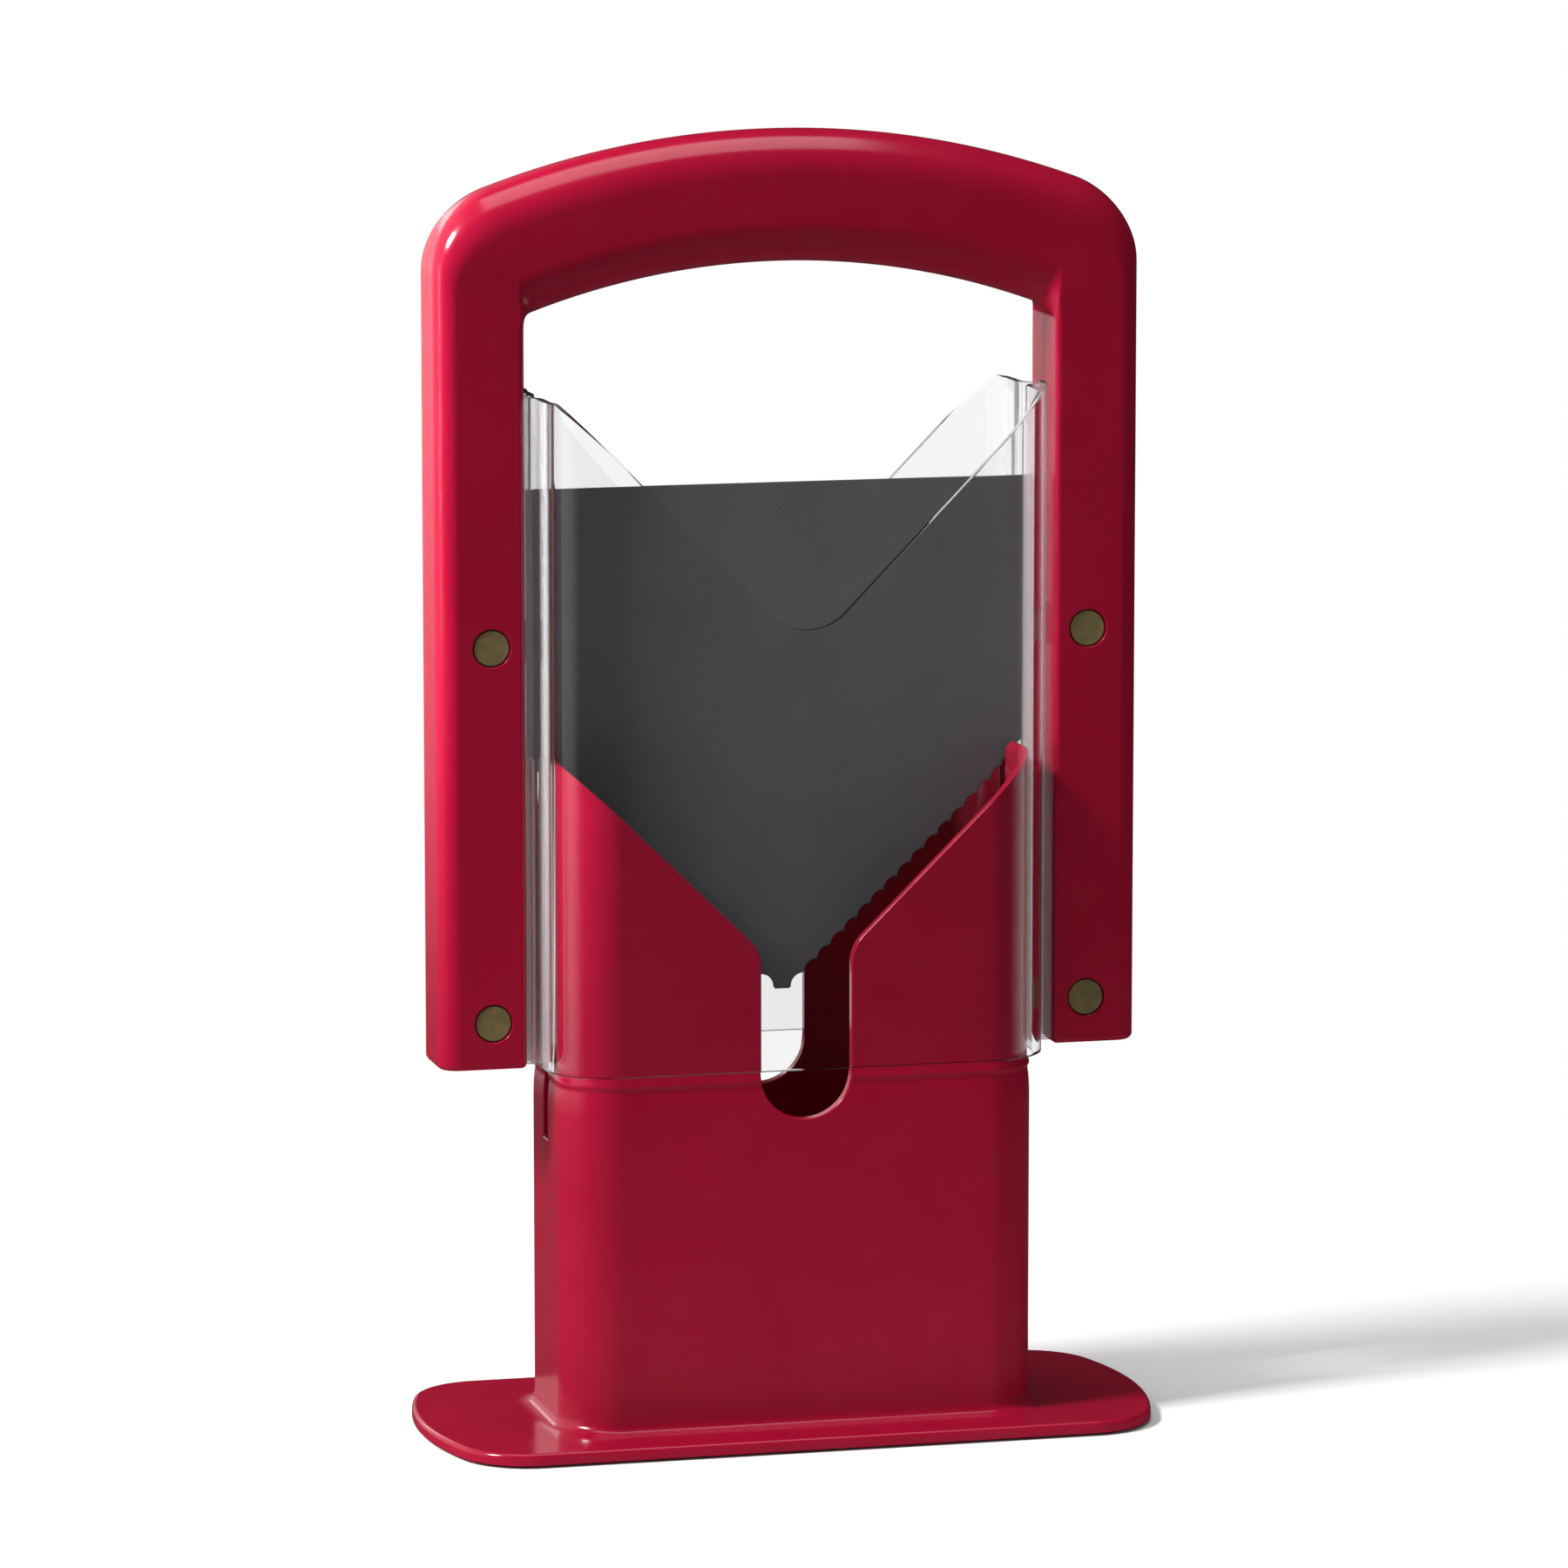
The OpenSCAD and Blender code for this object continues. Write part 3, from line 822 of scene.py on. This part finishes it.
def coated_steel():
    """Matt dark coat with a fine mottle and faint rubbed clouds."""
    material, tree, shader = new_material("coated_steel")
    speckle = noise_on_object(tree, scale=1500, detail=3, roughness=0.6)
    clouds = noise_on_object(tree, scale=35, detail=3)
    grain = spread_values(tree, speckle.outputs["Fac"], 0, 1, start=0.25, end=0.75)
    dark = blend_colours(tree, grain, dark_coat, light_coat)
    rubbed = blend_colours(tree, grain, dark_rubbed, light_rubbed)
    mix = add_node(tree, "ShaderNodeMix", data_type="RGBA")
    tree.links.new(spread_values(tree, clouds.outputs["Fac"], 0, 1), mix.inputs[0])
    tree.links.new(dark, mix.inputs[6])
    tree.links.new(rubbed, mix.inputs[7])
    tree.links.new(mix.outputs[2], shader.inputs["Base Color"])
    matt = spread_values(tree, speckle.outputs["Fac"], low=0.42, high=0.58)
    tree.links.new(matt, shader.inputs["Roughness"])
    add_bump(tree, shader, speckle.outputs["Fac"], strength=0.25, distance=0.03 * mm)
    shader.inputs["Specular IOR Level"].default_value = 0.35
    return material


dress(blade, coated_steel(), "carriage", ["blade"])

# Shields: two guards of clear acrylic sheet bent to a hat section, one in front of the blade
# and one behind it. Flat ears go into the legs, flanges run back past the body, and the
# panel has a deep V notch in its top with a round bottom and polished edges.
bend_r = 15.0 * mm - sheet_t / 2
bend_steps = 20
ear_bend_r = 4.0 * mm
ear_bend_steps = 6
panel_y = shield_low.y + sheet_t / 2
ear_y = shield_high.y - sheet_t / 2
flange_x = 59.7 * mm
notch_slope = math.radians(45.5)
notch_r = 12.6 * mm
notch_steps = 14
notch_apex_z = leg_bottom_z + 99.3 * mm
notch_margin = 8.0 * mm
polish_r = 0.25 * mm
polish_end_x = leg_in_x + 2.0 * mm
# Past this distance from the middle, in the outer faces of the flanges and in the ears, the sheet
# is made less clear and milky white: a painted glow standing in for light piped along the sheet and
# reflected at the bends
painted_glow_x = 60.0 * mm
painted_glow_ramp = 0.5 * mm
painted_glow_clearness = 0.75
sheet_tint = (0.97, 0.975, 0.98, 1)
passing_tint = (0.96, 0.965, 0.97, 1)
shield = set_pen("shield_front", (ear_out_x, ear_y, shield_low.z))
draw_line(flange_x + ear_bend_r - ear_out_x, 0, 0)
draw_arc((flange_x + ear_bend_r, ear_y - ear_bend_r, shield_low.z), 90, up, ear_bend_steps)
draw_line(0, panel_y + bend_r - ear_y + ear_bend_r, 0)
draw_arc((flange_x - bend_r, panel_y + bend_r, shield_low.z), -90, up, bend_steps)
draw_line(bend_r - flange_x, 0, 0)
mirror_half(shield, (True, False, False))
set_mode("EDIT")
bpy.ops.mesh.select_all(action="SELECT")
draw_line(0, 0, shield_high.z - shield_low.z)
set_mode("OBJECT")
face_outwards(shield)
apply_modifier(shield, "SOLIDIFY", thickness=sheet_t, offset=0, use_even_offset=True)
notch_turn = math.degrees(notch_slope)
notch_centre_z = notch_apex_z + notch_r / math.cos(notch_slope)
notch = set_pen("notch_cutter", (0, -cutter_reach, notch_centre_z - notch_r))
draw_arc((0, -cutter_reach, notch_centre_z), notch_turn, -back, notch_steps)
touch_x = notch_r * math.sin(notch_slope)
notch_side_x = flange_x + notch_margin
draw_line(notch_side_x - touch_x, 0, (notch_side_x - touch_x) * math.tan(notch_slope))
draw_line(0, 0, cutter_head)
draw_line(-notch_side_x, 0, 0)
mirror_half(notch, (True, False, False))
fill_outline(notch)
draw_line(0, 2 * cutter_reach, 0)
set_mode("OBJECT")
cut_away(shield, notch)
for side in (-1, 1):
    for z in rivet_heights.values():
        drill(shield, side, z)


def on_free_edge(edge):
    """True for the sharp edges of the sheet that aren't hidden in the legs."""
    outermost = max(abs(v.co.x) for v in edge.verts)
    return outermost < polish_end_x and edge.calc_face_angle(0) > sharp_turn


pick_edges(shield, on_free_edge)
bpy.ops.mesh.bevel(offset=polish_r, segments=2, affect="EDGES", clamp_overlap=False)
set_mode("OBJECT")


def clear_acrylic():
    """Clear sheet with a faint ripple; the flanges and ears are made milky white as a painted glow,
    standing in for light piped along the sheet and reflected at the bends.
    """
    material, tree, shader = new_material("clear_acrylic")
    shader.inputs["Base Color"].default_value = sheet_tint
    place = add_node(tree, "ShaderNodeTexCoord")
    across = add_node(tree, "ShaderNodeSeparateXYZ")
    tree.links.new(place.outputs["Object"], across.inputs[0])
    # Painted glow: the sheet transmits less past the bends, so its near-white base colour shows
    # there as a bright strip
    aside = work_out(tree, "ABSOLUTE", across.outputs["X"], 0)
    ramp_end = painted_glow_x + painted_glow_ramp
    clearness = spread_values(tree, aside, 1, painted_glow_clearness, painted_glow_x, ramp_end)
    tree.links.new(clearness, shader.inputs["Transmission Weight"])
    shader.inputs["IOR"].default_value = plastic_ior
    smear = noise_on_object(tree, scale=60, detail=4)
    haze = spread_values(tree, smear.outputs["Fac"], low=0.0, high=0.03)
    tree.links.new(haze, shader.inputs["Roughness"])
    ripple = noise_on_object(tree, scale=40, detail=1)
    add_bump(tree, shader, ripple.outputs["Fac"], strength=0.04, distance=0.2 * mm)
    rays = add_node(tree, "ShaderNodeLightPath")
    passing = add_node(tree, "ShaderNodeBsdfTransparent", Color=passing_tint)
    surface = shader.outputs["BSDF"]
    for kind in ("Is Shadow Ray", "Is Diffuse Ray"):
        mix = add_node(tree, "ShaderNodeMixShader")
        tree.links.new(rays.outputs[kind], mix.inputs[0])
        tree.links.new(surface, mix.inputs[1])
        tree.links.new(passing.outputs["BSDF"], mix.inputs[2])
        surface = mix.outputs["Shader"]
    tree.links.new(surface, tree.nodes["Material Output"].inputs["Surface"])
    return material


clear = clear_acrylic()
shield_back = copy_to_back(shield, "shield_back")
dress(shield, clear, "carriage", ["front_shield"])
dress(shield_back, clear, "carriage", ["back_shield"])

# Rivets: dull brass, in two pieces that are driven together through each leg. The front
# one is a head with a hollow barrel, the back one a head with a pin that fills it.
head_r = (head_high.x - head_low.x) / 2
barrel_r = 2.6 * mm
bore_r = 1.65 * mm
pin_r = 1.6 * mm
head_edge = 0.3 * mm
dish_rim = 0.45 * mm
dish_wall = 0.15 * mm
dish_depth = 0.06 * mm
dark_brass = (0.19, 0.145, 0.055)
light_brass = (0.27, 0.205, 0.085)


def faces_at_depth(y):
    return lambda face: all(abs(v.co.y - y) < merge_gap for v in face.verts)


def turn_rivet(name, front, shank_r, shank_end, bore_depth):
    """A head with a shank; front is -1 for the front half, 1 for the back."""
    face_y = front * -head_front_y
    under_y = face_y - front * head_t
    ends = sorted((face_y, under_y))
    piece = add_bar(name, head_r, rivet_x, rivet_heights["upper"], ends[0], ends[1])
    pick_faces(piece, faces_at_depth(face_y))
    bpy.ops.mesh.bevel(offset=head_edge, segments=3, affect="EDGES")
    pick_faces(piece, faces_at_depth(face_y))
    bpy.ops.mesh.inset(thickness=dish_rim, depth=0)
    bpy.ops.mesh.inset(thickness=dish_wall, depth=-dish_depth)
    pick_faces(piece, faces_at_depth(under_y))
    bpy.ops.mesh.inset(thickness=head_r - shank_r, depth=0)
    draw_line(0, shank_end - under_y, 0)
    if bore_depth:
        bpy.ops.mesh.inset(thickness=shank_r - bore_r, depth=0)
        draw_line(0, bore_depth, 0)
    set_mode("OBJECT")
    return piece


def dull_brass():
    """Tarnished brass: olive clouds and fine specks, half matt."""
    material, tree, shader = new_material("dull_brass")
    clouds = noise_on_object(tree, scale=420, detail=4, roughness=0.6)
    share = spread_values(tree, clouds.outputs["Fac"], 0, 1)
    colour = blend_colours(tree, share, dark_brass, light_brass)
    tree.links.new(colour, shader.inputs["Base Color"])
    shader.inputs["Metallic"].default_value = 0.35
    specks = noise_on_object(tree, scale=1200, detail=3)
    matt = spread_values(tree, specks.outputs["Fac"], low=0.36, high=0.55)
    tree.links.new(matt, shader.inputs["Roughness"])
    add_bump(tree, shader, clouds.outputs["Fac"], strength=0.2, distance=0.05 * mm)
    return material


brass = dull_brass()
barrel_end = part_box("rivet_barrel_upper_right")[1].y
pin_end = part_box("rivet_pin_upper_right")[0].y
bore_depth = head_back_y - barrel_end
front_half = turn_rivet("rivet_front_upper_right", -1, barrel_r, barrel_end, bore_depth)
back_half = turn_rivet("rivet_back_upper_right", 1, pin_r, pin_end, 0)
for half, name, node in (
    (front_half, "rivet_front_", "rivet_barrel_"),
    (back_half, "rivet_back_", "rivet_pin_"),
):
    first_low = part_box(node + "upper_right")[0]
    halves = {"upper_right": half}
    for where in ("upper_left", "lower_left", "lower_right"):
        halves[where] = copy_piece(half, name + where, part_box(node + where)[0] - first_low)
    for where, copy in halves.items():
        dress(copy, brass, "carriage", [node + where])

# Studio: a round table top that fades into a white surround. The key lamp stands high on the
# left, a window with a narrow beam close by on the left, and a broad lamp hangs overhead. The
# glossy sides mirror a pale wall behind on the left and a small bright pane; the rest is dim.
floor_r = 0.46
fade_start = 0.22
fade_end = 0.44
# The floor is as pale as it looks close to the stand only, and sheds less light further out
near_start = 0.1
near_end = 0.25
floor_seen = 0.92
floor_lit = 0.3
floor_mirrored = 0.03
room_light = 0.3
wall_light = 1.0
mirrored_room = 0.015
mirrored_wall = 0.75
# Directions are measured as shares of a unit vector: towards the wall, up, and to the back
wall_direction = (-0.8, 0.6, 0)
wall_span = (0.42, 0.74)
rise_span = (-0.19, -0.07)
back_span = (-0.4, -0.1)


def limit_to_one(tree, source):
    return spread_values(tree, source, 0, 1, 0, 1)


def seen_directly(tree, rays, backwards=0):
    """1 for camera rays, also through the clear sheets, and 0 for bounced light.

    Rays that are mirrored inside a sheet count too, as far as they leave it backwards.
    """
    scattered = limit_to_one(tree, rays.outputs["Diffuse Depth"])
    mirrored = limit_to_one(tree, rays.outputs["Glossy Depth"])
    straight = work_out(tree, "SUBTRACT", 1, scattered)
    clean = work_out(tree, "MAXIMUM", work_out(tree, "SUBTRACT", 1, mirrored), backwards)
    through = work_out(tree, "MULTIPLY", rays.outputs["Is Transmission Ray"], clean)
    through = work_out(tree, "MULTIPLY", through, straight)
    return work_out(tree, "MAXIMUM", through, rays.outputs["Is Camera Ray"])


def blend_numbers(tree, share, first, second):
    mix = add_node(tree, "ShaderNodeMix", data_type="FLOAT")
    for socket, value in zip((mix.inputs[0], mix.inputs[2], mix.inputs[3]), (share, first, second)):
        if isinstance(value, (int, float)):
            socket.default_value = value
        else:
            tree.links.new(value, socket)
    return mix.outputs[0]


def pale_floor():
    material, tree, shader = new_material("pale_floor")
    output = tree.nodes["Material Output"]
    place = add_node(tree, "ShaderNodeTexCoord")
    far = add_node(tree, "ShaderNodeVectorMath", operation="LENGTH")
    tree.links.new(place.outputs["Object"], far.inputs[0])
    fade = spread_values(tree, far.outputs["Value"], 0, 1, fade_start, fade_end)
    rays = add_node(tree, "ShaderNodeLightPath")
    seen = seen_directly(tree, rays)
    lit = spread_values(tree, far.outputs["Value"], floor_seen, floor_lit, near_start, near_end)
    bounced = blend_numbers(tree, rays.outputs["Is Glossy Ray"], lit, floor_mirrored)
    grey = blend_numbers(tree, seen, bounced, floor_seen)
    tree.links.new(grey, shader.inputs["Base Color"])
    shader.inputs["Roughness"].default_value = 0.9
    shader.inputs["Specular IOR Level"].default_value = 0.1
    white = add_node(tree, "ShaderNodeEmission", Strength=1.0)
    share = work_out(tree, "MULTIPLY", fade, seen)
    mix = add_node(tree, "ShaderNodeMixShader")
    tree.links.new(share, mix.inputs[0])
    tree.links.new(shader.outputs["BSDF"], mix.inputs[1])
    tree.links.new(white.outputs["Emission"], mix.inputs[2])
    tree.links.new(mix.outputs["Shader"], output.inputs["Surface"])
    return material


bpy.ops.mesh.primitive_circle_add(vertices=96, radius=floor_r, fill_type="NGON", location=(0, 0, 0))
floor = bpy.context.object
floor.name = "floor"
floor.data.materials.append(pale_floor())

world = bpy.data.worlds.new("surround")
bpy.context.scene.world = world
world.use_nodes = True
tree = world.node_tree
backdrop = tree.nodes["Background"]
backdrop.inputs["Color"].default_value = (1, 1, 1, 1)
towards = add_node(tree, "ShaderNodeTexCoord")
turned = add_node(tree, "ShaderNodeVectorMath", operation="DOT_PRODUCT")
turned.inputs[1].default_value = wall_direction
tree.links.new(towards.outputs["Generated"], turned.inputs[0])
wall_share = spread_values(tree, turned.outputs["Value"], 0, 1, *wall_span)
heading = add_node(tree, "ShaderNodeSeparateXYZ")
tree.links.new(towards.outputs["Generated"], heading.inputs[0])
backwards = spread_values(tree, heading.outputs["Y"], 0, 1, *back_span)
rays = add_node(tree, "ShaderNodeLightPath")
wall_rise = spread_values(tree, heading.outputs["Z"], 0, 1, *rise_span)
wall_mirrored_share = work_out(tree, "MULTIPLY", wall_share, wall_rise)
mirrored = blend_numbers(tree, wall_mirrored_share, mirrored_room, mirrored_wall)
shed = blend_numbers(tree, wall_share, room_light, wall_light)
bounced = blend_numbers(tree, rays.outputs["Is Glossy Ray"], shed, mirrored)
seen = seen_directly(tree, rays, backwards)
tree.links.new(blend_numbers(tree, seen, bounced, 1), backdrop.inputs["Strength"])


def add_lamp(name, place, target, side, watts, spread=180, in_mirrors=True):
    data = bpy.data.lights.new(name, "AREA")
    data.size = side
    data.energy = watts
    data.spread = math.radians(spread)
    lamp = bpy.data.objects.new(name, data)
    bpy.context.scene.collection.objects.link(lamp)
    lamp.location = place
    lamp.rotation_mode = "QUATERNION"
    lamp.rotation_quaternion = (Vector(target) - Vector(place)).to_track_quat("-Z", "Y")
    lamp.visible_camera = False
    lamp.visible_transmission = False
    lamp.visible_glossy = in_mirrors


add_lamp("key", place=(-1.72, -0.42, 1.75), target=(0, 0, 0.12), side=0.45, watts=72)
add_lamp(
    "window",
    place=(-0.8, 0.02, 0.26),
    target=(0, 0, 0.24),
    side=0.22,
    watts=0.32,
    spread=15,
    in_mirrors=False,
)
add_lamp("ceiling", place=(0, 0, 1.6), target=(0, 0, 0), side=1.0, watts=8)
add_lamp("back_pane", place=(-0.45, 2.1, 0.85), target=(0, 0, 0.25), side=0.5, watts=1.6)

# Camera: in front and a little to the left and above, with a long lens. Its place comes from
# fitting the plate, the body, the legs, the rivets and the shields to where they are seen.
camera_target = Vector((0.00067, 0, 0.15405))
camera_azimuth = math.radians(-14.183)
camera_elevation = math.radians(8.94)
camera_distance = 1.9998
image_side = 1800
focal_pixels = 9628.9
sensor_width = 36
view_depth = 50
camera_data = bpy.data.cameras.new("camera")
camera_data.sensor_width = sensor_width
camera_data.lens = sensor_width * focal_pixels / image_side
camera_data.clip_end = view_depth
camera = bpy.data.objects.new("camera", camera_data)
bpy.context.scene.collection.objects.link(camera)
towards_camera = Vector(
    (
        math.sin(camera_azimuth) * math.cos(camera_elevation),
        -math.cos(camera_azimuth) * math.cos(camera_elevation),
        math.sin(camera_elevation),
    )
)
camera.location = camera_target + towards_camera * camera_distance
camera.rotation_mode = "QUATERNION"
camera.rotation_quaternion = (-towards_camera).to_track_quat("-Z", "Y")
bpy.context.scene.camera = camera
bpy.context.scene.view_settings.view_transform = "Standard"
